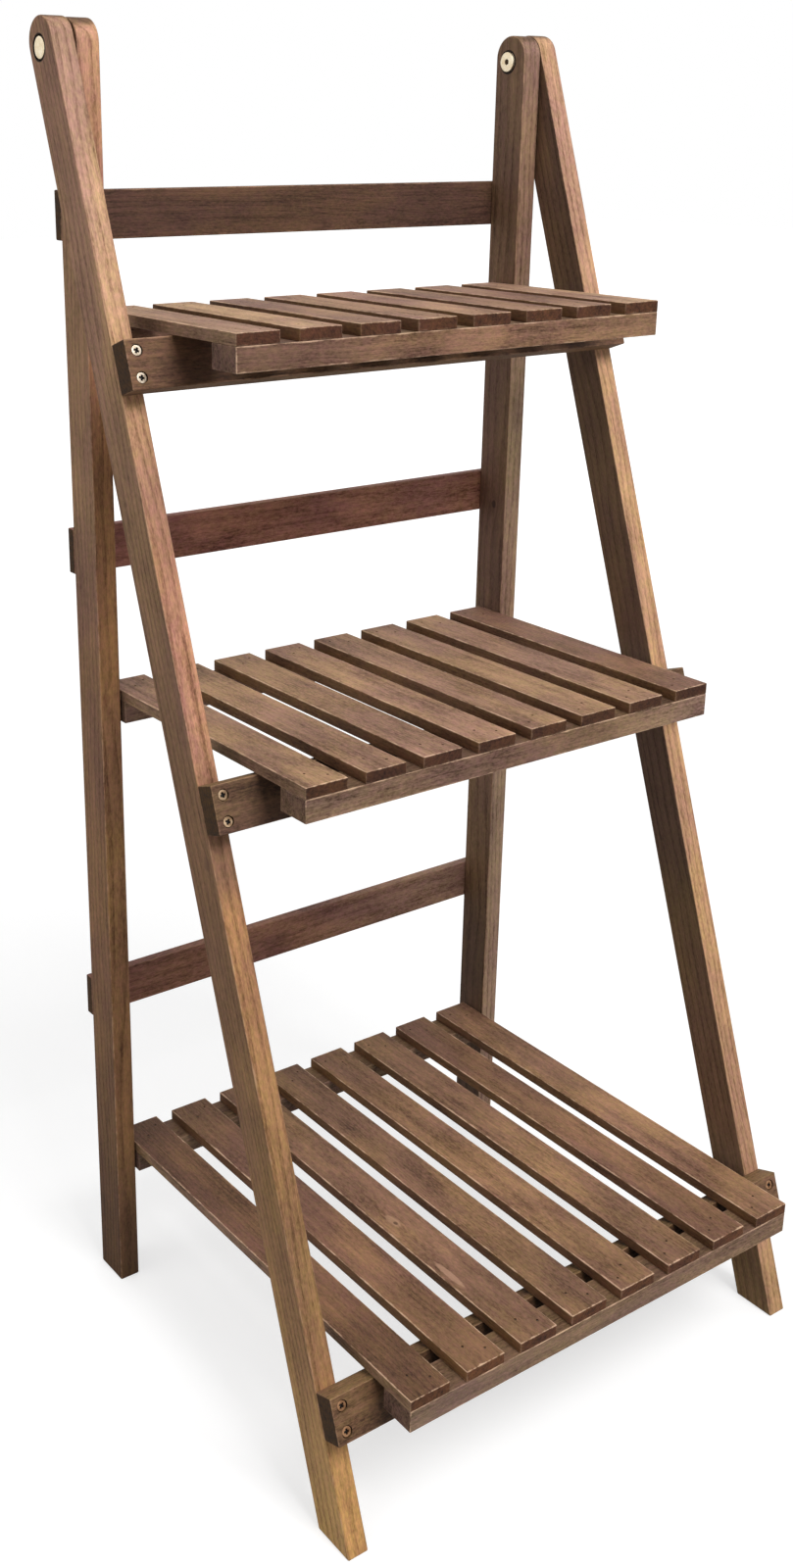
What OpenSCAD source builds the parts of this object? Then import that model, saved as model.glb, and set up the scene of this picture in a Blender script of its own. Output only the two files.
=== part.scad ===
// Folding plant ladder stand: a front and a rear frame hinged at the top, and three slatted
// shelves that rest on the front crossbars and tip up between the rear legs.
// Millimetres. Origin on the floor under the middle, front towards -Y, up +Z.

/* [Overall] */
// Width over the front legs
stand_w = 423; // [400:1:620]
// Height of the top hinge above the floor
hinge_z = 916; // [890:1:960]
// Lean of the front legs from upright, in degrees
lean = 19.4; // [18.4:0.1:20.4]

/* [Legs] */
// Thickness of a leg, side to side
leg_t = 16; // [14:0.5:18]
// Depth of a leg, front to back
leg_d = 31; // [28:0.5:36]
// Hinge line in from a leg's rear face
hinge_back = 13; // [11:0.5:15]
// Centre of the rounded top above the hinge
top_rise = 2.8; // [0:0.1:4]
// Space between a front and a rear leg
leg_gap = 1; // [0.5:0.1:1.5]

/* [Crossbars] */
// Thickness of a front crossbar
bar_t = 16; // [14:0.5:18]
// Height of a front crossbar
bar_h = 32; // [28:0.5:36]
// Thickness of a rear crossbar
back_t = 8; // [7:0.5:10]
// Height of a rear crossbar
back_h = 32; // [28:0.5:36]
// Top edge of the highest rear crossbar
back_top_z = 830.3; // [820:0.1:840]
// Top edge of the middle rear crossbar
back_mid_z = 604.5; // [595:0.1:615]
// Top edge of the lowest rear crossbar
back_low_z = 255.5; // [242:0.1:268]

/* [Shelves] */
// Top face of the highest shelf
top_z = 755; // [751:1:759]
// Top face of the middle shelf
mid_z = 492; // [488:1:496]
// Top face of the lowest shelf
low_z = 120; // [116:1:124]
// Space between crossbar and front rail on the highest shelf
top_gap = 40.2; // [36:0.1:44]
// Space between crossbar and front rail on the middle shelf
mid_gap = 20.5; // [16:0.1:25]
// Space between crossbar and front rail on the lowest shelf
low_gap = 5.3; // [0.5:0.1:8]
// Width of a slat
slat_w = 32; // [28:0.5:34]
// Thickness of a slat
slat_t = 8; // [7:0.5:10]
// Height of a shelf rail
rail_h = 16; // [14:0.5:18]
// Depth of a shelf rail
rail_d = 27; // [25:0.5:30]
// Rear end of the slats behind the hinge line
shelf_back = 6; // [4:0.5:7]
// Space between a shelf and a rear leg
side_gap = 1.5; // [1:0.1:2.5]

/* [Pivot bolts] */
// Diameter of the bolt's head
head_d = 13.5; // [12:0.1:15]
// Thickness of the bolt's head
head_h = 2.5; // [2:0.1:3]
// Diameter of the recess for the head
sink_d = 16.5; // [15:0.1:18]
// Depth of the recess for the head
sink_h = 3; // [2.5:0.1:4]
// Diameter of the bolt's shank
shank_d = 6; // [5:0.1:7]
// Diameter of the sleeve nut's barrel
barrel_d = 9; // [8:0.1:10]
// Diameter of the sleeve nut's flange
flange_d = 14; // [12:0.1:15]
// Thickness of the sleeve nut's flange
flange_h = 2.5; // [2:0.1:3]
// Depth of the recess for the flange
seat_h = 1; // [0:0.1:1.5]
// Width of the hexagon socket across its flats
socket_af = 4; // [3:0.1:5]
// Depth of the hexagon socket
socket_h = 5; // [3:0.5:6]
// Diameter of the washer between the legs
washer_d = 18; // [16:0.5:22]

/* [Shelf pins, screws and nails] */
// Diameter of a shelf's pivot pin
pin_d = 6; // [5:0.1:8]
// Length of a pivot pin inside the rail
pin_in = 20; // [15:1:30]
// Depth of the pin's hole in the rear leg
pin_bore = 12; // [8:0.5:13]
// Diameter of a crossbar screw's head
screw_d = 7; // [6:0.1:8]
// Height of a crossbar screw's head
screw_h = 2.4; // [2:0.1:3]
// Depth of a screw head under the surface
screw_sink = 0.6; // [0:0.1:1.5]
// Diameter of a crossbar screw's shank
core_d = 4; // [3:0.1:4.5]
// Length of a crossbar screw inside the leg
screw_bite = 14; // [10:0.5:16]
// Upper and lower screw from the crossbar's edges
screw_edge = 7.5; // [6:0.5:9]
// Diameter of a nail
nail_d = 1.8; // [1.4:0.1:2.2]
// Length of a nail
nail_l = 18; // [14:0.5:20]
// Nail heads under the slats' faces
nail_sink = 0.3; // [0:0.1:1]

/* [Fits] */
// Clearance round a turning pin or bolt, on the radius
run_fit = 0.05; // [0.02:0.01:0.1]
// Space left under a slat where it rests on a crossbar
rest_gap = 0.2; // [0.1:0.1:0.4]
// Space round a head or washer that turns in a recess or on a barrel
ease = 0.1; // [0.05:0.05:0.3]

/* [Hidden] */
$fn = 64;
slats = 8;
half_w = stand_w / 2;
rear_out = half_w - leg_t - leg_gap;
rear_in = rear_out - leg_t;
hinge_front = leg_d - hinge_back;
shelf_w = 2 * (rear_in - side_gap);
pitch = (shelf_w - slat_w) / (slats - 1);
shelf_z = [top_z, mid_z, low_z];
hook_gap = [top_gap, mid_gap, low_gap];
back_z = [back_top_z, back_mid_z, back_low_z];

// Top edge of front crossbar k, measured down its leg from the hinge
function bar_s(k) =
    (hinge_z + (hinge_front + bar_t) * sin(lean) - (shelf_z[k] - slat_t) + rest_gap) / cos(lean);
// Front end of shelf k, measured forwards from the hinge
function reach(k) = bar_s(k) * sin(lean) + (hinge_front + bar_t) * cos(lean)
    + rail_h * tan(lean) + hook_gap[k] + rail_d;
hinge_y = (reach(2) - hinge_back - back_t) / 2;
rear_y = hinge_y + shelf_back;
pin_y = rear_y - rail_d / 2;
function pin_z(k) = shelf_z[k] - slat_t - rail_h / 2;
function slat_x(i) = (i - (slats + 1) / 2) * pitch;

levels = ["top", "middle", "bottom"];

// Frames of the two hinged halves: the hinge line is at the local origin and the leg runs
// down its local -Z
module front_pose() translate([0, hinge_y, hinge_z]) rotate([-lean, 0, 0]) children();
module rear_pose() translate([0, hinge_y, hinge_z]) children();
// Pieces are drawn for the right side, and mirrored for the left
module side_of(s) mirror([s < 0 ? 1 : 0, 0, 0]) children();
// Round bar or hole along X from x to x + l
module rod_x(d, l, x = 0) translate([x, 0, 0]) rotate([0, 90, 0]) cylinder(d = d, h = l);
// Round bar or hole running forwards or backwards into the wood
module rod_y(d, l) rotate([-90, 0, 0]) cylinder(d = d, h = l);

// A leg with its rounded top, x from 0 to leg_t
module leg_blank(len) {
    translate([0, -hinge_front, -len]) cube([leg_t, leg_d, len + top_rise]);
    translate([0, leg_d / 2 - hinge_front, top_rise]) rod_x(leg_d, leg_t);
}

// Heads lie in recesses; the hole is cut with the same values as the screw
module screw_hole(reach_in) {
    translate([0, -1, 0]) rod_y(screw_d + 1, screw_sink + screw_h + 1);
    rod_y(core_d, reach_in);
}
module screw_solid(reach_in) {
    difference() {
        union() {
            translate([0, screw_sink, 0]) rod_y(screw_d, screw_h);
            translate([0, screw_sink, 0]) rod_y(core_d, reach_in - screw_sink);
        }
        translate([-2.4, screw_sink - 1, -0.6]) cube([4.8, 2.2, 1.2]);
        translate([-0.6, screw_sink - 1, -2.4]) cube([1.2, 2.2, 4.8]);
    }
}
// The two places where a crossbar is screwed to a leg, down from its top edge
module screw_rows(h) for (d = [screw_edge, h - screw_edge]) translate([0, 0, -d]) children();

module front_screw_places(k) translate([0, -hinge_front - bar_t, -bar_s(k)])
    for (s = [-1, 1]) translate([s * (half_w - leg_t / 2), 0, 0]) screw_rows(bar_h) children();
module rear_screw_places(k) translate([0, hinge_back + back_t, back_z[k] - hinge_z])
    for (s = [-1, 1]) translate([s * (rear_out - leg_t / 2), 0, 0]) screw_rows(back_h)
        rotate([0, 0, 180]) children();

module front_leg(s) {
    long = (hinge_z + leg_d * sin(lean)) / cos(lean) + 2;
    color("sienna") side_of(s) difference() {
        front_pose() difference() {
            translate([half_w - leg_t, 0, 0]) leg_blank(long);
            rod_x(barrel_d + 2 * run_fit, leg_t - sink_h - 2.5 + 1, half_w - leg_t - 1);
            rod_x(shank_d + 2 * ease, leg_t + 2, half_w - leg_t - 1);
            rod_x(sink_d, sink_h + 1, half_w - sink_h);
            for (k = [0:2]) front_screw_places(k) screw_hole(bar_t + screw_bite);
        }
        translate([0, -stand_w, -100]) cube([stand_w, 2 * stand_w, 100]);
    }
}

module rear_leg(s) color("peru") side_of(s) rear_pose() difference() {
    translate([rear_in, 0, 0]) leg_blank(hinge_z);
    rod_x(barrel_d, leg_t + 2, rear_in - 1);
    rod_x(flange_d + 2.5, seat_h + 1, rear_in - 1);
    for (k = [0:2]) {
        translate([0, pin_y - hinge_y, pin_z(k) - hinge_z])
            rod_x(pin_d + 2 * run_fit, pin_bore + 1, rear_in - 1);
        rear_screw_places(k) screw_hole(back_t + screw_bite);
    }
}

module front_crossbar(k) color("rosybrown") front_pose() difference() {
    translate([-half_w, -hinge_front - bar_t, -bar_s(k) - bar_h]) cube([stand_w, bar_t, bar_h]);
    front_screw_places(k) screw_hole(bar_t + screw_bite);
}

module rear_crossbar(k) color("tan") rear_pose() difference() {
    translate([-rear_out, hinge_back, back_z[k] - hinge_z - back_h])
        cube([2 * rear_out, back_t, back_h]);
    rear_screw_places(k) screw_hole(back_t + screw_bite);
}

module front_screws(k) color("silver") front_pose()
    front_screw_places(k) screw_solid(bar_t + screw_bite);
module rear_screws(k) color("silver") rear_pose()
    rear_screw_places(k) screw_solid(back_t + screw_bite);

// Bolt: its head turns freely in the front leg's recess, its shank is fixed in the sleeve nut
module pivot_bolt(s) color("khaki") side_of(s) rear_pose() {
    rod_x(head_d, head_h - run_fit, half_w - sink_h + run_fit);
    rod_x(shank_d, leg_t + leg_gap + 2 + head_h / 2, half_w - sink_h - leg_t - leg_gap - 2);
}

// Sleeve nut: flange on the rear leg's inner face, barrel through both legs
module pivot_nut(s) color("gold") side_of(s) rear_pose() {
    tail = rear_in + seat_h - flange_h;
    difference() {
        union() {
            rod_x(flange_d, flange_h, tail);
            rod_x(barrel_d, half_w - sink_h - 3 - tail, tail);
        }
        rod_x(shank_d, leg_t + leg_gap + 3, half_w - sink_h - leg_t - leg_gap - 2);
        translate([tail - 1, 0, 0]) rotate([0, 90, 0]) rotate(30)
            cylinder(d = socket_af / cos(30), h = socket_h + 1, $fn = 6);
    }
}

module pivot_washers() color("gray") rear_pose() for (s = [-1, 1]) side_of(s) difference() {
    rod_x(washer_d, leg_gap - run_fit, rear_out);
    rod_x(barrel_d + 2 * ease, leg_gap + 2, rear_out - 1);
}

// Two nails through each end of a slat, set diagonally, mirrored on the right half
module nail_places(k, i) {
    w = i > slats / 2 ? -1 : 1;
    for (e = [0, 1], n = [0, 1])
        translate([slat_x(i) + w * (n == 0 ? -3 : 8.5),
            e == 0 ? hinge_y - reach(k) + (n == 0 ? 20 : 11) : rear_y - (n == 0 ? 20 : 11),
            shelf_z[k] - nail_sink - nail_l]) children();
}

module shelf_slat(k, i) color("burlywood") difference() {
    translate([slat_x(i) - slat_w / 2, hinge_y - reach(k), shelf_z[k] - slat_t])
        cube([slat_w, reach(k) + shelf_back, slat_t]);
    nail_places(k, i) cylinder(d = nail_d, h = nail_l + 1);
}

module rail_blank(k, y) translate([-shelf_w / 2, y, shelf_z[k] - slat_t - rail_h])
    cube([shelf_w, rail_d, rail_h]);

module front_rail(k) color("chocolate") difference() {
    rail_blank(k, hinge_y - reach(k));
    for (i = [1:slats]) nail_places(k, i) cylinder(d = nail_d, h = nail_l + 1);
}

module rear_rail(k) color("chocolate") difference() {
    rail_blank(k, rear_y - rail_d);
    for (i = [1:slats]) nail_places(k, i) cylinder(d = nail_d, h = nail_l + 1);
    for (s = [-1, 1]) side_of(s) translate([0, pin_y, pin_z(k)])
        rod_x(pin_d, pin_in + 1, shelf_w / 2 - pin_in);
}

module pivot_pins(k) color("wheat") for (s = [-1, 1]) side_of(s) translate([0, pin_y, pin_z(k)])
    rod_x(pin_d, pin_in + side_gap + pin_bore - 0.5, shelf_w / 2 - pin_in);

module nails(k) color("dimgray")
    for (i = [1:slats]) nail_places(k, i) cylinder(d = nail_d, h = nail_l);

front_leg(-1);  // front_leg_left
front_leg(1);  // front_leg_right
rear_leg(-1);  // rear_leg_left
rear_leg(1);  // rear_leg_right
pivot_bolt(-1);  // pivot_bolt_left
pivot_bolt(1);  // pivot_bolt_right
pivot_nut(-1);  // pivot_nut_left
pivot_nut(1);  // pivot_nut_right
pivot_washers();
for (k = [0:2]) {
    front_crossbar(k);
    rear_crossbar(k);
    front_screws(k);
    rear_screws(k);
    for (i = [1:slats]) shelf_slat(k, i);
    front_rail(k);
    rear_rail(k);
    pivot_pins(k);
    nails(k);
}
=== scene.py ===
# Folding plant ladder stand: stained softwood, two hinged halves and three slatted shelves.
# Lengths are millimetres, but for the camera's and the studio's, which are metres.
import math
import random

import bmesh
import bpy
from mathutils import Matrix, Vector


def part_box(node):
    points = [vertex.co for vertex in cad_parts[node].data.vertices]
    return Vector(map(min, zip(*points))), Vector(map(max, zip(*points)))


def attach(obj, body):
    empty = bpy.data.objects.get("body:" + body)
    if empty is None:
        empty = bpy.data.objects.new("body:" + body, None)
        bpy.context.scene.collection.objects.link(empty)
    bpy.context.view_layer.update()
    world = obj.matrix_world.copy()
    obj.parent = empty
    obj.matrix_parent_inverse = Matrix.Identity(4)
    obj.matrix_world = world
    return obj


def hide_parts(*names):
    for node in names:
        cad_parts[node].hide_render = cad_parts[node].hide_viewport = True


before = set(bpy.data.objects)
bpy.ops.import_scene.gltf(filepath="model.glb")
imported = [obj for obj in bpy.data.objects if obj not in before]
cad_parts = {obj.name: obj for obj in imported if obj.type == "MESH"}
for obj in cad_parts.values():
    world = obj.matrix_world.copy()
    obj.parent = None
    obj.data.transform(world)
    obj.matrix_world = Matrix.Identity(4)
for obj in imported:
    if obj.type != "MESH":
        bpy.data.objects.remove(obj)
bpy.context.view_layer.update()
mm = 0.001
print("frame loaded:", len(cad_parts), "pieces")

# The stand's main sizes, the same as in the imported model
stand = {
    "hingeY": 168.0923555, "hingeZ": 916.0, "lean": math.radians(19.4),
    "legTop": 2.8, "legFront": 18.0, "legDepth": 31.0, "legWidth": 16.0,
    "frontLegX": 203.5, "rearLegX": 186.5,
    "frontBarTops": {"top": 191.358, "middle": 470.190, "bottom": 864.582},
    "frontBarFace": -34.0, "frontBarDepth": 16.0, "frontBarLong": 423.0, "barHeight": 32.0,
    "rearBarTops": {"top": 830.3, "middle": 604.5, "bottom": 255.5},
    "rearBarFace": 13.0, "rearBarDepth": 8.0,
    "shelfTops": {"top": 755.0, "middle": 492.0, "bottom": 120.0},
    "levels": ("top", "middle", "bottom"), "slats": 8,
}

hinge = Vector((0, stand["hingeY"], stand["hingeZ"]))
upright = Matrix.Identity(3)
leaning = Matrix.Rotation(-stand["lean"], 3, "X")
alongX = Matrix.Rotation(math.radians(90), 3, "Y")      # grain runs across the stand
alongY = Matrix.Rotation(math.radians(-90), 3, "X")     # grain runs front to back


camera = {
    "place": (-0.71918, -0.83009, 0.86876), "lens": 38.1885, "sensor": 36.0,
    "shift": (0.06879, -0.05808), "yaw": 0.61042, "pitch": -0.32731, "roll": 0.00224,
    "clip": (0.05, 60),
}


def addCamera():
    forward = Vector((math.sin(camera["yaw"]) * math.cos(camera["pitch"]),
                      math.cos(camera["yaw"]) * math.cos(camera["pitch"]),
                      math.sin(camera["pitch"])))
    right = forward.cross(Vector((0, 0, 1))).normalized()
    up = right.cross(forward)
    cosRoll, sinRoll = math.cos(camera["roll"]), math.sin(camera["roll"])
    axes = (cosRoll * right + sinRoll * up, cosRoll * up - sinRoll * right, -forward)
    lens = bpy.data.cameras.new("photoLens")
    lens.lens, lens.sensor_width = camera["lens"], camera["sensor"]
    lens.shift_x, lens.shift_y = camera["shift"]
    lens.clip_start, lens.clip_end = camera["clip"]
    eye = bpy.data.objects.new("photoCamera", lens)
    eye.matrix_world = (Matrix.Translation(camera["place"])
                        @ Matrix(axes).transposed().to_4x4())
    bpy.context.scene.collection.objects.link(eye)
    bpy.context.scene.camera = eye


class Field:
    # A value in a node tree; Python arithmetic on it adds Math nodes

    def __init__(self, tree, socket):
        self.tree, self.socket = tree, socket

    def math(self, operation, *values):
        return self.tree.node("Math", {"operation": operation}, dict(enumerate(values)))

    def __add__(self, other):
        return self.math("ADD", self, other)

    def __radd__(self, other):
        return self.math("ADD", other, self)

    def __sub__(self, other):
        return self.math("SUBTRACT", self, other)

    def __rsub__(self, other):
        return self.math("SUBTRACT", other, self)

    def __mul__(self, other):
        return self.math("MULTIPLY", self, other)

    def __rmul__(self, other):
        return self.math("MULTIPLY", other, self)

    def __truediv__(self, other):
        return self.math("DIVIDE", self, other)

    def __rtruediv__(self, other):
        return self.math("DIVIDE", other, self)

    def __abs__(self):
        return self.math("ABSOLUTE", self)


class NodeTree:
    # Builds one node tree, each node from its type, its settings and its inputs

    def __init__(self, owner):
        owner.use_nodes = True
        self.nodes, self.links = owner.node_tree.nodes, owner.node_tree.links
        self.nodes.clear()

    def node(self, kind, settings=None, inputs=None, output=0):
        made = self.nodes.new("ShaderNode" + kind)
        for key, value in (settings or {}).items():
            if key == "stops":
                ramp = made.color_ramp
                while len(ramp.elements) < len(value):
                    ramp.elements.new(1.0)
                for element, (position, shown) in zip(ramp.elements, value):
                    element.position, element.color = position, shown
            else:
                setattr(made, key, value)
        for key, value in (inputs or {}).items():
            if isinstance(value, Field):
                self.links.new(value.socket, made.inputs[key])
            else:
                made.inputs[key].default_value = value
        return Field(self, made.outputs[output]) if made.outputs else made

    def split(self, vector):
        parts = self.node("SeparateXYZ", None, {0: vector}).socket.node.outputs
        return [Field(self, part) for part in parts]

    def step(self, value, low, high):
        return self.node("MapRange", {"interpolation_type": "SMOOTHSTEP"},
                         {"Value": value, "From Min": low, "From Max": high})

    def blend(self, factor, first, second, how="MIX"):
        return self.node("Mix", {"data_type": "RGBA", "blend_type": how},
                         {0: factor, 6: first, 7: second}, 2)

    def larger(self, first, second):
        return self.node("Math", {"operation": "MAXIMUM"}, {0: first, 1: second})

    def smaller(self, first, second):
        return self.node("Math", {"operation": "MINIMUM"}, {0: first, 1: second})

    def reach(self, first, second):
        # distance from zero, from its two parts
        return self.node("Math", {"operation": "SQRT"}, {0: first * first + second * second})

    def towards(self, normal, direction):
        # 1 where the surface faces the direction, 0 across it
        return self.node("VectorMath", {"operation": "DOT_PRODUCT"},
                         {0: normal, 1: direction}, "Value")

    def onBlock(self, name, block, seeds, spread):
        # Millimetres along the block's own axes, with a random start for each noise
        chance = random.Random(name)
        self.starts = [Vector([chance.uniform(-spread, spread) for _ in range(3)])
                       for _ in range(seeds)]
        self.place = self.node("Mapping", {"vector_type": "TEXTURE"}, {
            "Vector": self.node("TexCoord", None, None, "Object"),
            "Location": Vector(block["centre"]) * mm, "Rotation": block["turn"].to_euler(),
            "Scale": (mm, mm, mm)})
        return self.split(self.place)

    def noise(self, kind):
        scale, detail, roughness, seed = kind
        moved = self.node("VectorMath", {"operation": "MULTIPLY_ADD"},
                          {0: self.place, 1: scale, 2: self.starts[seed]})
        return self.node("TexNoise", None, {"Vector": moved, "Scale": 1.0,
                                            "Detail": detail, "Roughness": roughness})

    def swing(self, kind):
        # the same noise, about zero
        return self.noise(kind) - 0.5


def colour(red, green, blue):
    # A colour as it looks on screen, 0 to 255, turned into Blender's linear values
    def linear(value):
        value /= 255
        return value / 12.92 if value <= 0.04045 else ((value + 0.055) / 1.055) ** 2.4
    return (linear(red), linear(green), linear(blue), 1.0)


studio = {
    "skyLow": 0.10, "skyHigh": 0.66, "skyRise": (-0.2, 0.9),
    "key": 98.0, "keyPlace": (0.1, -2.1, 3.3), "keySize": 1.8,
    "fill": 5.0, "fillPlace": (-1.5, 0.35, 0.9), "fillSize": 1.0, "aim": (0.0, 0.0, 0.45),
    "floor": 0.5, "floorNear": 0.58, "floorFar": 0.86, "floorReach": (0.9, 3.5),
    "floorRough": 0.9, "floorSize": 24.0, "floorCells": 8,
}


def addLamp(name, place, size, power):
    lamp = bpy.data.lights.new(name, "AREA")
    lamp.shape, lamp.size, lamp.energy = "DISK", size, power
    thing = bpy.data.objects.new(name, lamp)
    thing.location = place
    aim = Vector(studio["aim"]) - Vector(place)
    thing.rotation_euler = aim.to_track_quat("-Z", "Y").to_euler()
    bpy.context.scene.collection.objects.link(thing)


def addSky():
    # White where the camera or a reflection sees it, and a soft dome for the light
    world = bpy.data.worlds.new("studioSky")
    bpy.context.scene.world = world
    sky = NodeTree(world)
    fromCamera, glossy, through = [sky.node("LightPath", None, None, name) for name in
                                   ("Is Camera Ray", "Is Glossy Ray", "Is Transmission Ray")]
    seen = sky.larger(sky.larger(fromCamera, glossy), through)
    upwards = sky.split(sky.node("TexCoord", None, None, "Generated"))[2]
    rise = sky.step(upwards, *studio["skyRise"])
    dome = studio["skyLow"] + rise * (studio["skyHigh"] - studio["skyLow"])
    light = sky.node("Background", None, {"Color": (1, 1, 1, 1),
                                          "Strength": dome * (1 - seen) + seen})
    sky.node("OutputWorld", None, {"Surface": light})


def addFloor():
    # Pale paper, lifted towards white for the camera alone, so that it keeps the shadow
    paper = bpy.data.materials.new("studioPaper")
    tree = NodeTree(paper)
    seen = tree.node("LightPath", None, None, "Is Camera Ray")
    grey = studio["floor"]
    away = tree.node("VectorMath", {"operation": "LENGTH"},
                     {0: tree.node("TexCoord", None, None, "Object")}, "Value")
    lift = tree.step(away, *studio["floorReach"]) * (studio["floorFar"] - studio["floorNear"])
    shade = tree.node("BsdfPrincipled", None, {
        "Base Color": (grey, grey, grey, 1), "Roughness": studio["floorRough"],
        "Emission Color": seen * (lift + studio["floorNear"]), "Emission Strength": 1.0})
    tree.node("OutputMaterial", None, {"Surface": shade})
    bm = bmesh.new()
    cells = studio["floorCells"]
    bmesh.ops.create_grid(bm, x_segments=cells, y_segments=cells, size=studio["floorSize"] / 2)
    mesh = bpy.data.meshes.new("studioFloor")
    bm.to_mesh(mesh)
    bm.free()
    mesh.materials.append(paper)
    floor = bpy.data.objects.new("studioFloor", mesh)
    bpy.context.scene.collection.objects.link(floor)


addCamera()
addSky()
addLamp("keyLamp", studio["keyPlace"], studio["keySize"], studio["key"])
addLamp("fillLamp", studio["fillPlace"], studio["fillSize"], studio["fill"])
addFloor()
bpy.context.scene.view_settings.view_transform = "Standard"
print("camera, lamps and floor placed")


# The stained wood, and its noises: scale across, across and along the grain, detail,
# roughness and seed
stain = {
    "grain": ((0.0, (0.20, 0.165, 0.14, 1)), (0.25, (0.42, 0.395, 0.37, 1)),
              (0.5, (0.625, 0.625, 0.625, 1)), (1.0, (0.99, 1.0, 1.0, 1))),
    "seeds": 9, "spread": 90, "tone": 0.53, "lateMean": 0.25, "fleckDepth": 0.10,
    "mottleDepth": 1.3,
    "lift": (1.75, 1.77, 1.70),
    "plum": (0.84, 0.79, 0.90, 1), "gold": (1.0, 1.0, 0.93, 1), "broadEdge": (0.38, 0.62),
    "pink": (1.0, 0.94, 0.97, 1), "olive": (0.95, 0.98, 0.86, 1), "fineEdge": (0.36, 0.64),
    "fleckEdge": (0.60, 0.74), "endGrain": (0.60, 0.92),
    "rubbed": (0.5, 0.95), "toFront": (0.1, 0.6), "soilEdge": 0.5,
    "worn": 1.45, "wornMost": 0.8, "wornEdge": (-1.0, 0.25), "wornPatches": 5.0,
    "wornGrain": 0.35, "wornBehind": 0.2,
    "roughness": 0.66, "roughFibre": 0.25, "roughLate": 0.06, "roughWorn": 0.10, "roughEnd": 0.12,
    "gloss": 0.28, "bump": 0.35, "bumpDepth": 0.5,
    "highFibre": 0.8, "lowLate": 0.35, "lowFleck": 0.5, "highStreak": 0.3,
}

rings = {
    "loose": 3.0, "late": (0.40, 0.93), "lateEnd": (0.94, 1.0),
    "knotBend": 1.7, "bendAcross": 0.5, "bendAlong": 0.05,
    "knotRough": 0.9, "knotEdge": (0.55, 1.35),
}

woodNoise = {
    "swayX": ((0.010, 0.010, 0.0032), 2.0, 0.55, 0),
    "swayY": ((0.010, 0.010, 0.0032), 2.0, 0.55, 1),
    "loose": ((0.09, 0.09, 0.006), 2.0, 0.55, 2),
    "fibre": ((1.5, 1.5, 0.055), 5.0, 0.7, 3),
    "streak": ((0.26, 0.26, 0.006), 4.0, 0.6, 4),
    "blotch": ((0.045, 0.045, 0.017), 4.0, 0.6, 5),
    "speck": ((0.75, 0.75, 0.26), 3.0, 0.7, 8),
    "fleck": ((2.6, 2.6, 0.16), 2.0, 0.5, 6),
    "mottle": ((0.30, 0.30, 0.30), 3.0, 0.6, 8),
    "broad": ((0.032, 0.032, 0.010), 3.0, 0.55, 6),
    "fine": ((0.33, 0.33, 0.17), 2.0, 0.55, 7),
    "knot": ((0.35, 0.35, 0.35), 2.0, 0.55, 7),
    "patchy": ((0.16, 0.16, 0.055), 5.0, 0.7, 7),
}


def growthRings(wood, x, y, z, look):
    # The dark late wood of rings that sway along the grain and flow round a knot
    ringX = x + wood.swing(woodNoise["swayX"]) * look["sway"] + look["pith"][0]
    ringY = y + wood.swing(woodNoise["swayY"]) * look["sway"] + look["pith"][1]
    radius = wood.reach(ringX, ringY)
    marks = []
    for knot in look.get("knots", ()):
        across = x if knot["face"] == "y" else y
        side = (across - knot["across"]) / knot["size"]
        along = (z - knot["along"]) / knot["size"]
        bend = 1 + side * side * rings["bendAcross"] + along * along * rings["bendAlong"]
        radius = radius + knot["size"] * rings["knotBend"] / bend
        along = along / knot["long"]
        edge = side * side + along * along + wood.swing(woodNoise["knot"]) * rings["knotRough"]
        mask = (1 - wood.step(edge, *rings["knotEdge"])) * knot["strength"]
        marks.append((mask, knot["tint"]))
    loose = wood.swing(woodNoise["loose"]) * rings["loose"]
    ring = wood.node("Math", {"operation": "FRACT"}, {0: (radius + loose) / look["ring"]})
    late = wood.step(ring, *rings["late"]) * (1 - wood.step(ring, *rings["lateEnd"]))
    return late, marks


def lifted(shown):
    # A face's colour, raised by as much as the grain laid over it darkens it
    return tuple(part * lift for part, lift in zip(shown, stain["lift"])) + (1.0,)


def onFace(wood, block, z, shown):
    # One colour, or stops from the block's low or left end to its other end
    if not isinstance(shown[0], tuple):
        return lifted(shown)
    low, high = -block["half"][2], block["half"][2]
    along = wood.node("MapRange", None, {"Value": z, "From Min": low, "From Max": high})
    stops = [(at, lifted(tone)) for at, tone in shown]
    return wood.node("ValToRGB", {"stops": stops}, {"Fac": along})


def insideArris(wood, block, x, y, z):
    # How far inside the block's arrises, below zero: the second nearest of its sides
    gapX = abs(x) - block["half"][0]
    if "roundFrom" in block:
        rise = wood.larger(z - block["roundFrom"], 0.0)
        gapY = wood.reach(y, rise) - block["half"][1]
        return wood.smaller(gapX, gapY)
    gapY = abs(y) - block["half"][1]
    gapZ = abs(z) - block["half"][2]
    return wood.larger(wood.smaller(gapX, gapY), wood.smaller(wood.larger(gapX, gapY), gapZ))


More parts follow.
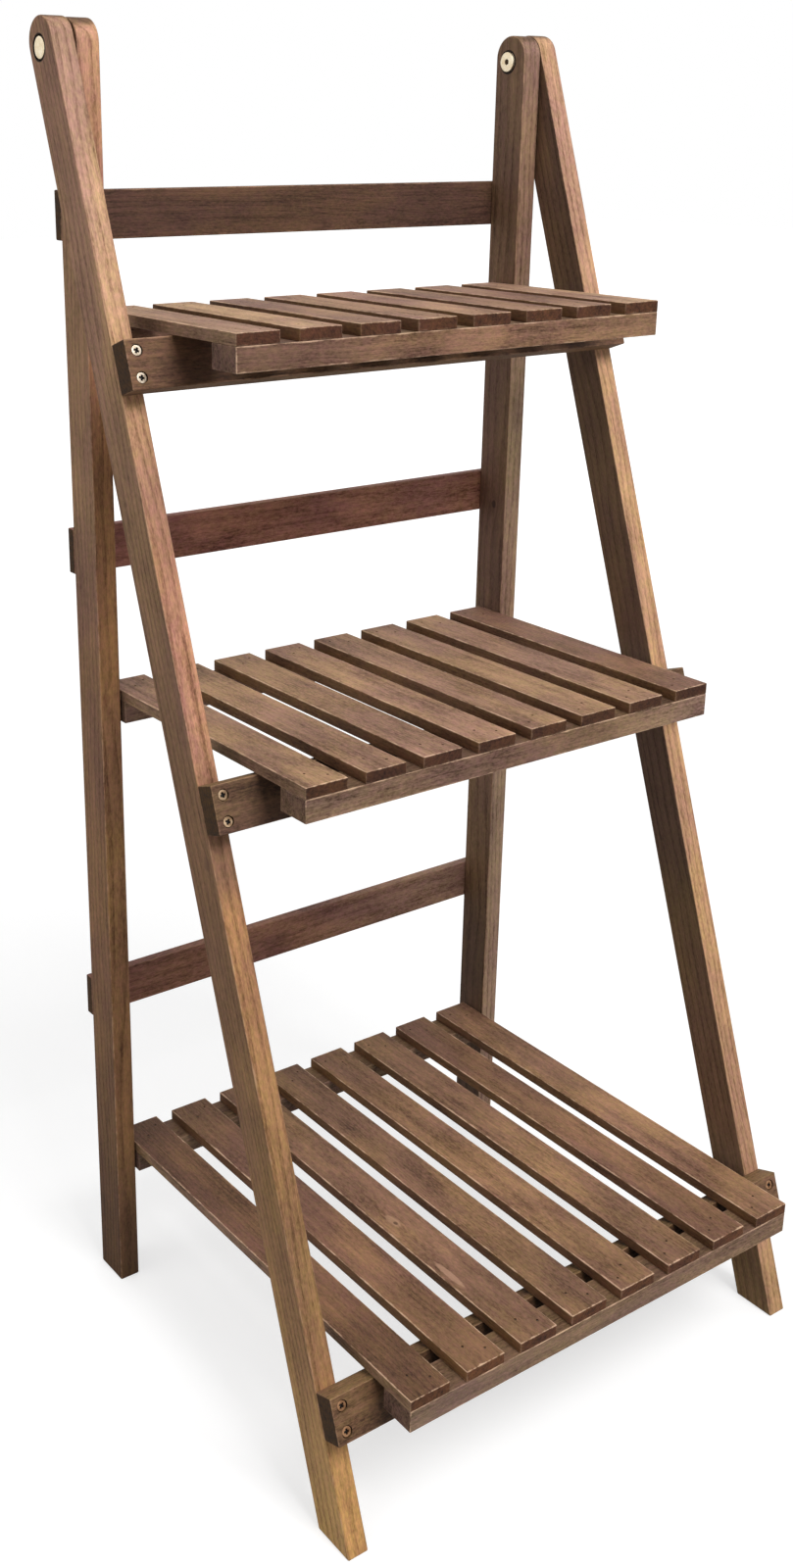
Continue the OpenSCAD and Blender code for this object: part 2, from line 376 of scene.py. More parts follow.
def stainedWood(name, block, look):
    # Grain runs along the block's own z; the pith lies off to one side, so rings show as lines
    owner = bpy.data.materials.new(name)
    wood = NodeTree(owner)
    x, y, z = wood.onBlock(name, block, stain["seeds"], stain["spread"])
    normal = wood.node("TexCoord", None, None, "Normal")
    late, marks = growthRings(wood, x, y, z, look)

    # Which way the face looks
    grainAxis = block["turn"] @ Vector((0, 0, 1))
    endGrain = wood.step(abs(wood.towards(normal, grainAxis)), *stain["endGrain"])
    # The face turned to the front or top is paler, partly rubbed and partly painted light
    turnedOut = wood.towards(normal, look["rubbedFace"])
    rubbed = wood.step(turnedOut, *stain["rubbed"])
    toFront = wood.step(turnedOut, *stain["toFront"])

    # Fibres, streaks, blotches and pores make the tone, two broad hues tint it
    fibre, streak, blotch, speck, mottle = [wood.swing(woodNoise[kind]) for kind in
                                            ("fibre", "streak", "blotch", "speck", "mottle")]
    fleck = wood.step(wood.noise(woodNoise["fleck"]), *stain["fleckEdge"])
    tone = (stain["tone"] + fibre * look["fibre"] + streak * look["streak"]
            + blotch * look["blotch"] + speck * look["speck"]
            - (late - stain["lateMean"]) * look["line"] - fleck * stain["fleckDepth"]
            + mottle * endGrain * stain["mottleDepth"])
    grain = wood.node("ValToRGB", {"stops": stain["grain"]}, {"Fac": tone})
    for kind, first, second in (("broad", "plum", "gold"), ("fine", "pink", "olive")):
        share = wood.step(wood.noise(woodNoise[kind]), *stain[kind + "Edge"])
        hue = wood.blend(share, stain[first], stain[second])
        grain = wood.blend(1.0, grain, hue, "MULTIPLY")

    # One colour for each kind of face: front or top, paler partly from rubbing and partly as
    # painted light, sides darker partly as painted shade, and end grain
    sides = wood.blend(rubbed, onFace(wood, block, z, look["side"]),
                       onFace(wood, block, z, look["face"]))
    flat = wood.blend(endGrain, sides, lifted(look["end"]))
    base = wood.blend(1.0, flat, grain, "MULTIPLY")
    for mask, tint in marks:
        base = wood.blend(mask, base, tint)
    # Painted shade in the recess round the pivot bolt
    if "recess" in look:
        bore = wood.reach(z - block["hingeZ"], y - block["hingeY"])
        outsideRecessShade = wood.step(bore, look["recess"], look["recess"] + stain["soilEdge"])
        base = wood.blend(1 - outsideRecessShade, base, look["soil"])

    # Stain rubbed off the arrises, with a painted highlight along them, strongest on those beside
    # the front or top face
    edge = insideArris(wood, block, x, y, z)
    patches = wood.swing(woodNoise["patchy"]) * stain["wornPatches"]
    worn = (wood.step(edge + patches, *stain["wornEdge"]) * look["wear"]
            * (toFront * (1 - stain["wornBehind"]) + stain["wornBehind"]))
    pale = tuple(min(part * stain["worn"], stain["wornMost"]) for part in look["worn"][:3]) + (1.0,)
    paleGrain = wood.blend(1.0, pale, grain, "MULTIPLY")
    base = wood.blend(worn, base, wood.blend(stain["wornGrain"], pale, paleGrain))

    roughness = (stain["roughness"] + fibre * stain["roughFibre"] + late * stain["roughLate"]
                 - worn * stain["roughWorn"] + endGrain * stain["roughEnd"])
    height = (fibre * stain["highFibre"] - late * stain["lowLate"] - fleck * stain["lowFleck"]
              + streak * stain["highStreak"])
    bump = wood.node("Bump", None, {"Strength": stain["bump"],
                                    "Distance": stain["bumpDepth"] * mm, "Height": height})
    shade = wood.node("BsdfPrincipled", None, {
        "Base Color": base, "Roughness": roughness, "Specular IOR Level": stain["gloss"],
        "Normal": bump})
    wood.node("OutputMaterial", None, {"Surface": shade})
    return owner


easing = {
    "merge": 0.001, "flat": math.radians(0.4), "arris": math.radians(30), "shortest": 6.0,
    "topFrom": -10.0, "clearOfBolt": 10.0, "steps": 3, "sharp": math.radians(38),
}


def isArris(node, edge):
    if len(edge.link_faces) != 2 or edge.calc_face_angle(0) < easing["arris"]:
        return False
    if edge.calc_length() > easing["shortest"] * mm:
        return True
    # the short edges round a leg's top, but not those of the recess round its bolt
    middle = (edge.verts[0].co + edge.verts[1].co) / 2 / mm - hinge
    return ("leg" in node and middle.z > easing["topFrom"]
            and math.hypot(middle.y, middle.z) > easing["clearOfBolt"])


def easedCopy(node, name, width):
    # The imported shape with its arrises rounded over; holes keep their sharp rims
    bm = bmesh.new()
    bm.from_mesh(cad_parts[node].data)
    bmesh.ops.remove_doubles(bm, verts=bm.verts[:], dist=easing["merge"] * mm)
    bmesh.ops.dissolve_limit(bm, angle_limit=easing["flat"], verts=bm.verts[:], edges=bm.edges[:])
    arrises = [edge for edge in bm.edges if isArris(node, edge)]
    bmesh.ops.bevel(bm, geom=arrises, offset=width * mm, offset_type="OFFSET",
                    segments=easing["steps"], profile=0.5, affect="EDGES", clamp_overlap=False,
                    material=-1)
    return finishPiece(bm, name)


def finishPiece(bm, name):
    mesh = bpy.data.meshes.new(name)
    bm.to_mesh(mesh)
    bm.free()
    mesh.materials.clear()
    mesh.shade_smooth()
    mesh.set_sharp_from_angle(angle=easing["sharp"])
    piece = bpy.data.objects.new(name, mesh)
    bpy.context.scene.collection.objects.link(piece)
    weighted = piece.modifiers.new("evenShading", "WEIGHTED_NORMAL")
    weighted.keep_sharp = True
    return piece


def pieceName(node):
    words = node.split("_")
    return words[0] + "".join(word.capitalize() for word in words[1:])


def fitPiece(piece, node, body, finish):
    piece.data.materials.append(finish)
    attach(piece, body)
    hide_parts(node)


def addWood(node, body, block, look, arris):
    piece = easedCopy(node, pieceName(node), arris)
    fitPiece(piece, node, body, stainedWood(pieceName(node) + "Stain", block, look))


def boxBlock(node, turn):
    # A straight block's centre and half sizes, from its packed box
    low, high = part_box(node)
    half = turn.transposed() @ ((high - low) / 2 / mm)
    return {"centre": (low + high) / 2 / mm, "turn": turn, "half": [abs(side) for side in half]}


def leaningBlock(centre, turn, half):
    return {"centre": hinge + leaning @ Vector(centre), "turn": leaning @ turn, "half": half}


legs = {
    "arris": 1.0,
    "look": {"sway": 26.0, "ring": 4.6, "fibre": 1.0, "streak": 0.55, "blotch": 0.9, "speck": 1.1,
             "line": 0.24, "wear": 0.5, "end": colour(96, 72, 54), "recess": 8.35,
             "soil": colour(38, 26, 18), "worn": colour(176, 140, 112)},
    "front": {"body": "front_frame", "rubbedFace": (0, -0.943, 0.332)},
    "rear": {"body": "rear_frame", "rubbedFace": (0, -1, 0)},
    "front_leg_left": {
        "pith": (30.0, 46.0),
        # The dark stops from 0.445 to 0.49 are painted shade just below the middle crossbar
        "face": ((0.0, colour(176, 132, 87)), (0.18, colour(139, 106, 73)),
                 (0.42, colour(162, 118, 85)), (0.445, colour(126, 92, 74)),
                 (0.49, colour(126, 92, 74)), (0.52, colour(174, 127, 104)),
                 (0.60, colour(187, 136, 112)), (0.66, colour(161, 118, 93)),
                 (0.84, colour(190, 150, 123)), (1.0, colour(166, 131, 108))),
        "side": ((0.0, colour(172, 136, 90)), (0.14, colour(142, 109, 71)),
                 (0.36, colour(114, 84, 60)), (0.47, colour(111, 81, 61)),
                 (0.59, colour(118, 89, 68)), (0.71, colour(128, 98, 76)),
                 (0.84, colour(149, 116, 90)), (0.96, colour(134, 102, 79))),
        "knots": ({"face": "x", "across": -8.0, "along": -44.0, "size": 3.4, "long": 1.5,
                   "strength": 0.35, "tint": colour(70, 46, 34)},)},
    "front_leg_right": {
        "pith": (-36.0, 40.0),
        "face": ((0.0, colour(164, 127, 98)), (0.3, colour(180, 140, 106)),
                 (1.0, colour(182, 142, 116))),
        # Its sides are painted dark, as the shade on the inner face
        "side": ((0.0, colour(122, 95, 66)), (0.22, colour(109, 83, 61)),
                 (0.34, colour(90, 69, 50)), (0.44, colour(97, 74, 57)),
                 (0.72, colour(98, 75, 58)), (1.0, colour(92, 69, 52)))},
    "rear_leg_left": {
        "pith": (26.0, 52.0),
        "face": ((0.0, colour(88, 64, 40)), (0.18, colour(122, 88, 62)),
                 (0.36, colour(146, 109, 74)), (0.56, colour(130, 94, 64)),
                 (0.72, colour(134, 94, 66)), (0.86, colour(178, 130, 102)),
                 (1.0, colour(190, 144, 118))),
        "side": ((0.0, colour(76, 51, 29)), (0.32, colour(121, 88, 63)),
                 (0.55, colour(121, 89, 66)), (0.66, colour(130, 99, 77)),
                 (1.0, colour(130, 99, 77))),
        "knots": ({"face": "y", "across": -3.5, "along": 21.0, "size": 2.8, "long": 1.8,
                   "strength": 0.35, "tint": colour(96, 52, 34)},)},
    "rear_leg_right": {
        "pith": (-44.0, 30.0),
        # The pale stop at 0.68 is painted light, below the top shelf
        "face": ((0.0, colour(160, 130, 110)), (0.37, colour(163, 136, 115)),
                 (0.44, colour(142, 110, 89)), (0.51, colour(152, 120, 98)),
                 (0.68, colour(172, 145, 122)), (0.83, colour(142, 112, 94))),
        # Its sides are painted dark, as the shade on the inner face
        "side": ((0.0, colour(80, 60, 45)), (0.18, colour(86, 65, 48)),
                 (0.26, colour(106, 81, 62)), (0.38, colour(122, 94, 72)),
                 (0.55, colour(106, 80, 62)), (1.0, colour(112, 86, 69))),
        "knots": ({"face": "x", "across": -2.3, "along": 113.0, "size": 2.4, "long": 1.4,
                   "strength": 0.8, "tint": colour(46, 28, 18)},)},
}


def addLegs():
    topRound = stand["legTop"] + stand["legDepth"] / 2          # the leg's highest point
    middleY = stand["legDepth"] / 2 - stand["legFront"]
    for half in ("front", "rear"):
        for side, hand in ((-1, "left"), (1, "right")):
            node = "%s_leg_%s" % (half, hand)
            look = {**legs["look"], **legs[half], **legs[node]}
            long = stand["hingeZ"] / (math.cos(stand["lean"]) if half == "front" else 1) + topRound
            sizes = (stand["legWidth"] / 2, stand["legDepth"] / 2, long / 2)
            centre = (side * stand[half + "LegX"], middleY, topRound - long / 2)
            if half == "front":
                block = leaningBlock(centre, upright, sizes)
            else:
                block = {"centre": hinge + Vector(centre), "turn": upright, "half": sizes}
            block["roundFrom"] = stand["legTop"] - centre[2]
            block["hingeY"], block["hingeZ"] = -centre[1], -centre[2]
            addWood(node, look["body"], block, look, legs["arris"])
    print("four legs dressed")


crossbars = {
    "arris": 0.8,
    "look": {"sway": 22.0, "ring": 2.6, "fibre": 1.2, "streak": 0.9, "blotch": 1.4, "speck": 1.6,
             "line": 0.14, "wear": 0.5, "rubbedFace": (0, -1, 0),
             "worn": colour(160, 124, 98), "end": colour(56, 35, 8)},
    # The front crossbars' faces are lighter at their ends and dark where the shelf above overhangs
    # them, as painted shade
    "frontFace": ((0.0, colour(106, 80, 61)), (0.045, colour(98, 73, 56)),
                  (0.085, colour(74, 52, 36)), (0.915, colour(74, 52, 36)),
                  (0.955, colour(98, 73, 56)), (1.0, colour(106, 80, 61))),
    "frontSide": colour(114, 88, 62),
    "frontCast": {"top": (1.18, 1.11, 1.00), "middle": (0.96, 0.93, 0.97),
                  "bottom": (1.18, 1.14, 1.06)},
    "frontPith": {"top": (22, 30), "middle": (7, 36), "bottom": (-8, 42)},
    # The rear crossbars' colours stand in for light: the top one painted darker as shade, the two
    # lower ones painted lighter
    "rearFace": {"top": colour(85, 60, 47),
                 "middle": ((0.0, colour(144, 97, 85)), (1.0, colour(160, 114, 98))),
                 "bottom": ((0.0, colour(131, 92, 78)), (0.5, colour(138, 99, 85)),
                            (1.0, colour(163, 132, 113)))},
    "rearPith": {"top": (-18, 34), "middle": (-1, 34), "bottom": (16, 34)},
}


def addCrossbars():
    width, depth = stand["barHeight"], stand["frontBarDepth"]
    half = (width / 2, depth / 2, stand["frontBarLong"] / 2)
    for level in stand["levels"]:
        centre = (0, stand["frontBarFace"] + depth / 2, -stand["frontBarTops"][level] - width / 2)
        cast = crossbars["frontCast"][level]
        shown = tuple((at, tuple(part * tint for part, tint in zip(tone, cast)) + (1.0,))
                      for at, tone in crossbars["frontFace"])
        look = {**crossbars["look"], "face": shown, "side": crossbars["frontSide"],
                "pith": crossbars["frontPith"][level]}
        addWood("front_crossbar_" + level, "front_frame",
                leaningBlock(centre, alongX, half), look, crossbars["arris"])
        rear = crossbars["rearFace"][level]
        look = {**crossbars["look"], "face": rear, "side": rear,
                "pith": crossbars["rearPith"][level]}
        node = "rear_crossbar_" + level
        addWood(node, "rear_frame", boxBlock(node, alongX), look,
                crossbars["arris"])
    print("six crossbars dressed")


shelves = {
    "arris": 0.6, "seed": 7,
    "look": {"sway": 20.0, "ring": 2.6, "fibre": 0.9, "streak": 0.65, "blotch": 1.5,
             "speck": 1.4, "line": 0.10, "wear": 0.85, "worn": colour(190, 158, 131)},
    "slatRings": (0.7, 1.5), "slatPith": ((-26, 26), (12, 40)), "railPith": ((-10, 10), (16, 26)),
    # The slats' tops darken from the top shelf down, as painted shade of the shelves above
    "slatTop": {"top": colour(156, 125, 102), "middle": colour(147, 115, 92),
                "bottom": colour(126, 95, 72)},
    "castRange": (0.88, 1.12),
    "casts": {"plum": (0.78, 0.73, 0.77), "dark": (0.66, 0.60, 0.61), "pale": (1.15, 1.14, 1.15)},
    # On the top shelf, slats 3 to 7 take the plum cast as a painted shadow; the other casts are the
    # slats' own tones
    "castSlats": {"top": {3: "plum", 4: "plum", 5: "plum", 6: "plum", 7: "plum"},
                  "middle": {8: "dark"},
                  "bottom": {1: "dark", 2: "plum", 5: "pale", 7: "plum", 8: "pale"}},
    "along": {"top": ((0.0, 1.0), (1.0, 1.0)), "middle": ((0.0, 1.0), (1.0, 1.0)),
              "bottom": ((0.0, 0.93), (0.15, 0.93), (0.27, 1.16), (0.44, 1.16), (0.56, 0.97),
                         (0.88, 0.96), (1.0, 0.87))},
    "marks": {("bottom", 3): (
        {"face": "y", "across": -9.5, "along": -102.0, "size": 2.6, "long": 6.0,
         "strength": 0.6, "tint": colour(184, 144, 118)},
        {"face": "y", "across": -4.7, "along": -33.0, "size": 3.4, "long": 2.4,
         "strength": 0.5, "tint": colour(180, 142, 112)},
        {"face": "y", "across": -4.7, "along": -36.0, "size": 1.5, "long": 1.4,
         "strength": 0.75, "tint": colour(76, 50, 34)})},
    # Slat sides that face the gaps are painted dark, as the shade between the slats; the outer side
    # of the first slat is lighter
    "slatSide": colour(106, 75, 50), "outerSide": colour(126, 100, 78),
    "slatEnd": {"top": colour(80, 48, 31), "middle": colour(70, 42, 26),
                "bottom": colour(84, 51, 31)},
    "railLook": {"fibre": 1.2, "streak": 0.8, "blotch": 1.5, "speck": 1.6,
                 "rubbedFace": (0, -1, 0), "side": colour(104, 80, 62),
                 "end": colour(96, 73, 60)},
    # The rear rails' arrises get little pale wear and painted highlight, as they lie in shade
    "railWear": {"front": 0.85, "rear": 0.1},
    "rail": {"top": ((0.0, colour(110, 83, 66)), (0.6, colour(136, 102, 81)),
                     (1.0, colour(124, 94, 76))),
             "middle": ((0.0, colour(130, 103, 88)), (0.45, colour(122, 94, 77)),
                        (0.70, colour(117, 91, 73)), (1.0, colour(148, 120, 102))),
             "bottom": ((0.0, colour(120, 97, 81)), (0.25, colour(117, 93, 77)),
                        (1.0, colour(134, 107, 85)))},
}


def slatCast(level, index, chance):
    # How light a slat's face is, from its front to its back: a random cast over the shelf's colour,
    # darker on the lower shelves and on some top slats as painted shade
    cast = chance.uniform(*shelves["castRange"])
    hue = shelves["casts"].get(shelves["castSlats"][level].get(index), (1.0, 1.0, 1.0))
    tone = [part * cast * tint for part, tint in zip(shelves["slatTop"][level], hue)]
    return tuple((at, tuple(part * light for part in tone) + (1.0,))
                 for at, light in shelves["along"][level])


def addSlat(level, index, chance):
    side, up = shelves["slatPith"]
    look = {**shelves["look"], "rubbedFace": (0, 0, 1),
            "ring": shelves["look"]["ring"] * chance.uniform(*shelves["slatRings"]),
            "face": slatCast(level, index, chance),
            "side": shelves["outerSide" if index == 1 else "slatSide"],
            "end": shelves["slatEnd"][level],
            "knots": shelves["marks"].get((level, index), ()),
            "pith": (chance.uniform(*side), chance.choice((-1, 1)) * chance.uniform(*up))}
    node = "%s_slat_%d" % (level, index)
    addWood(node, level + "_shelf", boxBlock(node, alongY), look, shelves["arris"])


def addRail(level, end, chance):
    side, up = shelves["railPith"]
    look = {**shelves["look"], **shelves["railLook"], "face": shelves["rail"][level],
            "wear": shelves["railWear"][end],
            "pith": (chance.uniform(*side), chance.uniform(*up))}
    node = "%s_%s_rail" % (level, end)
    addWood(node, level + "_shelf", boxBlock(node, alongX), look, shelves["arris"])


def addShelves():
    chance = random.Random(shelves["seed"])
    for level in stand["levels"]:
        for index in range(1, stand["slats"] + 1):
            addSlat(level, index, chance)
        for end in ("front", "rear"):
            addRail(level, end, chance)
    print("three shelves dressed")


# The plated metal, its noises given as the wood's are
plating = {
    "seeds": 3, "spread": 40,
    "cloud": ((0.30, 0.30, 0.30), 4.0, 0.6, 0), "scratch": ((0.5, 6.0, 5.0), 4.0, 0.7, 1),
    "spot": ((1.3, 1.3, 1.3), 3.0, 0.6, 2), "spotEdge": (0.58, 0.72),
    "shadeCloud": 0.5, "shineScratch": 0.5, "shineEdge": (-0.25, 0.25), "shadeAndSoilDull": 0.8,
    "roughCloud": 0.2, "roughScratch": 0.12, "roughShadeAndSoil": 0.35,
    "bump": 0.25, "bumpDepth": 0.05, "highScratch": 0.5,
}


def metal(name, block, look):
    # Faint mottling and scratches, dirt spots, and painted shade where the metal lies deep
    owner = bpy.data.materials.new(name)
    plate = NodeTree(owner)
    x, y, z = plate.onBlock(name, block, plating["seeds"], plating["spread"])
    cloud = plate.swing(plating["cloud"])
    scratch = plate.swing(plating["scratch"])
    spot = plate.step(plate.noise(plating["spot"]), *plating["spotEdge"])
    depth = {"x": x, "y": y, "z": z}[look["deepAxis"]] * look["deepSign"]
    deepShade = plate.step(depth + cloud * plating["shadeCloud"], look["unshadedTo"], look["shadeFrom"])
    soil = plate.larger(deepShade, spot * look["spots"])
    shine = plate.step(cloud + scratch * plating["shineScratch"], *plating["shineEdge"])
    base = plate.blend(soil, plate.blend(shine, look["dull"], look["bright"]), look["soil"])
    roughness = (look["roughness"] + cloud * plating["roughCloud"]
                 + scratch * plating["roughScratch"] + soil * plating["roughShadeAndSoil"])
    bump = plate.node("Bump", None, {
        "Strength": plating["bump"], "Distance": plating["bumpDepth"] * mm,
        "Height": scratch * plating["highScratch"] + cloud})
    shade = plate.node("BsdfPrincipled", None, {
        "Base Color": base, "Metallic": 1 - soil * plating["shadeAndSoilDull"], "Roughness": roughness,
        "Normal": bump})
    plate.node("OutputMaterial", None, {"Surface": shade})
    return owner


def turned(profile, steps):
    # A mesh from (radius, height) points, in millimetres, spun round the z axis
    bm = bmesh.new()
    points = [bm.verts.new((radius * mm, 0, height * mm)) for radius, height in profile]
    edges = [bm.edges.new(pair) for pair in zip(points, points[1:])]
    bmesh.ops.spin(bm, geom=points + edges, cent=(0, 0, 0), axis=(0, 0, 1), dvec=(0, 0, 0),
                   angle=math.tau, steps=steps, use_merge=True, use_duplicate=False)
    return closedMesh(bm)


def closedMesh(bm):
    bmesh.ops.remove_doubles(bm, verts=bm.verts[:], dist=easing["merge"] * mm)
    bmesh.ops.recalc_face_normals(bm, faces=bm.faces[:])
    mesh = bpy.data.meshes.new("pattern")
    bm.to_mesh(mesh)
    bm.free()
    return mesh


def repeated(pattern, places):
    # Copies of one mesh at several places, as one bmesh
    bm = bmesh.new()
    for place in places:
        start = len(bm.verts)
        bm.from_mesh(pattern)
        bm.verts.ensure_lookup_table()
        bmesh.ops.transform(bm, matrix=place, verts=bm.verts[start:])
    bpy.data.meshes.remove(pattern)
    return bm


ringSteps = 24      # divides by a cross slot's four arms and by a hexagon's six sides


def ringOf(bm, radius):
    # A circle of loose edges
    verts = bmesh.ops.create_circle(bm, cap_ends=False, segments=ringSteps,
                                    radius=radius * mm)["verts"]
    return verts, list({edge for vert in verts for edge in vert.link_edges})


def growRing(bm, edges, factor, height):
    # Extrudes a closed ring of edges, scaling it about the axis and moving it along it
    grown = bmesh.ops.extrude_edge_only(bm, edges=edges)["geom"]
    verts = [part for part in grown if isinstance(part, bmesh.types.BMVert)]
    bmesh.ops.scale(bm, verts=verts, vec=(factor, factor, 1))
    bmesh.ops.translate(bm, verts=verts, vec=(0, 0, height * mm))
    return [part for part in grown if isinstance(part, bmesh.types.BMEdge)
            and all(vert in verts for vert in part.verts)]


# The rings of a screw's rim are (scale from the ring before, rise)
screws = {
    "head": 3.45, "flat": 0.86, "core": 1.95, "slotHalf": 1.95, "slotWidth": 0.8,
    "slotDepth": 1.5, "slotTaper": 0.7, "rim": ((1.12, -0.06), (1.035, -0.16), (0.97, -0.5)),
    "cone": 1.68, "tip": 3.0, "tipScale": 0.02, "headAndTip": 5.4,
    "sink": 0.6, "long": {"front": 30.0, "rear": 22.0}, "edge": 7.5, "seed": 24,
    # The slot and the sides below the head are painted dark, as shade in the recess
    "finish": {"deepAxis": "y", "unshadedTo": 0.25, "shadeFrom": 0.75, "spots": 0.2,
               "roughness": 0.34, "soil": colour(12, 8, 6)},
    # The screws are painted darker on the lower levels, as shade under the shelves
    "tones": {"top": {"bright": colour(250, 236, 216), "dull": colour(196, 176, 150)},
              "middle": {"bright": colour(238, 208, 172), "dull": colour(164, 130, 98)},
              "bottom": {"bright": colour(210, 162, 122), "dull": colour(148, 106, 76)}},
}


def screwMesh(long):
    # Cross-slot countersunk screw: the slot, the face round it, the rim, cone and core
    bm = bmesh.new()
    half, width = screws["slotHalf"], screws["slotWidth"]
    middle = (half + width) / 2
    arm = ((half, 0), (half, width), (middle, width), (width, width), (width, middle),
           (width, half))
    slot, outline = ringOf(bm, half)
    for vert in slot:
        step = round(math.atan2(vert.co.y, vert.co.x) / math.tau * ringSteps) % ringSteps
        turn = Matrix.Rotation(math.radians(90 * (step // len(arm))), 2)
        vert.co.xy = turn @ Vector(arm[step % len(arm)]) * mm
    ring = ringOf(bm, screws["head"] * screws["flat"])[1]
    bmesh.ops.bridge_loops(bm, edges=outline + ring)
    floor = growRing(bm, outline, screws["slotTaper"], -screws["slotDepth"])
    bmesh.ops.edgeloop_fill(bm, edges=floor)
    for factor, height in (*screws["rim"], (screws["core"] / screws["head"], -screws["cone"]),
                           (1.0, screws["headAndTip"] - long),
                           (screws["tipScale"], -screws["tip"])):
        ring = growRing(bm, ring, factor, height)
    bmesh.ops.edgeloop_fill(bm, edges=ring)
    return closedMesh(bm)


def addScrews():
    chance = random.Random(screws["seed"])
    outwards = {"front": Matrix.Rotation(math.radians(90), 4, "X"),
                "rear": Matrix.Rotation(math.radians(-90), 4, "X")}
    for level in stand["levels"]:
        for half in ("front", "rear"):
            front = half == "front"
            lean = leaning.to_4x4() if front else Matrix.Identity(4)
            if front:
                top, face = -stand["frontBarTops"][level], stand["frontBarFace"] + screws["sink"]
            else:
                top = stand["rearBarTops"][level] - stand["hingeZ"]
                face = stand["rearBarFace"] + stand["rearBarDepth"] - screws["sink"]
            onHalf = Matrix.Translation(hinge * mm) @ lean
            places = []
            for side in (-1, 1):
                for down in (screws["edge"], stand["barHeight"] - screws["edge"]):
                    at = Vector((side * stand[half + "LegX"], face, top - down)) * mm
                    twist = Matrix.Rotation(chance.uniform(0, math.pi / 2), 4, "Z")
                    places.append(onHalf @ Matrix.Translation(at) @ outwards[half] @ twist)
            node = "%s_crossbar_screws_%s" % (half, level)
            piece = finishPiece(repeated(screwMesh(screws["long"][half]), places), pieceName(node))
            middle = Vector((0, face, top - stand["barHeight"] / 2))
            block = {"centre": hinge + lean.to_3x3() @ middle, "turn": lean.to_3x3()}
            finish = {**screws["finish"], **screws["tones"][level],
                      "deepSign": 1.0 if front else -1.0}
            fitPiece(piece, node, half + "_frame",
                     metal(piece.name + "Plate", block, finish))
    print("crossbar screws driven")


pivots = {
    "steps": 48, "boltFace": 211.45, "boltBack": 208.55, "boltHead": 6.75,
    "boltRim": ((-1.2, 0), (-0.28, -0.05), (-0.08, -0.12), (0, -0.3)),
    "shank": 2.99, "shankEnd": 189.5, "shankEase": (0.5, 0.6),
    "nutFace": 177.0, "nutSeat": 179.5, "flange": 7.0, "barrel": 4.5, "barrelEnd": 205.5,
    "bore": 3.0, "socket": 4.0, "socketDepth": 5.0, "socketLip": 1.16,
    "flangeEdge": ((6.5, 0.0), (6.88, 0.14), (7.0, 0.36)), "flangeEase": 0.5, "barrelEase": 0.4,
    "washerIn": 4.6, "washerOut": 9.0, "washerFrom": 194.5, "washerTo": 195.45,
    "washerEaseIn": 0.12, "washerEaseOut": 0.2,
    # The side of the bolt head below its face and the nut's socket are painted dark, as shade
    "brass": {"deepAxis": "z", "deepSign": -1.0, "unshadedTo": 0.6, "shadeFrom": 1.6, "spots": 0.2,
              "roughness": 0.42, "bright": colour(252, 240, 214), "dull": colour(232, 210, 172),
              "soil": colour(96, 74, 50)},
    "nutShade": {"deepSign": 1.0, "unshadedTo": 1.2, "shadeFrom": 2.4},
    # no part of a washer lies this deep, so it has spots alone
    "steel": {"deepAxis": "x", "deepSign": 1.0, "unshadedTo": 900.0, "shadeFrom": 901.0, "spots": 0.5,
              "roughness": 0.45, "bright": colour(196, 192, 184), "dull": colour(138, 132, 124),
              "soil": colour(70, 56, 44)},
}


def sideways(side, x):
    # Local z points outwards along X, from the point x on the hinge line
    turn = Matrix.Rotation(math.radians(90 * side), 4, "Y")
    return Matrix.Translation(Vector((side * x, hinge.y, hinge.z)) * mm) @ turn


def addBolt(side, name):
    # Flat disc head with a softened rim, and a plain shank
    head, shank = pivots["boltHead"], pivots["shank"]
    thick = pivots["boltFace"] - pivots["boltBack"]
    reach = pivots["boltFace"] - pivots["shankEnd"]
    inset, rise = pivots["shankEase"]
    rim = [(head + out, height) for out, height in pivots["boltRim"]]
    bolt = ((0, 0), *rim, (head, -thick), (shank, -thick), (shank, -reach + rise),
            (shank - inset, -reach), (0, -reach))
    place = sideways(side, pivots["boltFace"])
    piece = finishPiece(repeated(turned(bolt, pivots["steps"]), [place]),
                        "pivotBolt" + name.capitalize())
    block = {"centre": place.translation / mm, "turn": place.to_3x3()}
    fitPiece(piece, "pivot_bolt_" + name, "rear_frame",
             metal(piece.name + "Brass", block, pivots["brass"]))


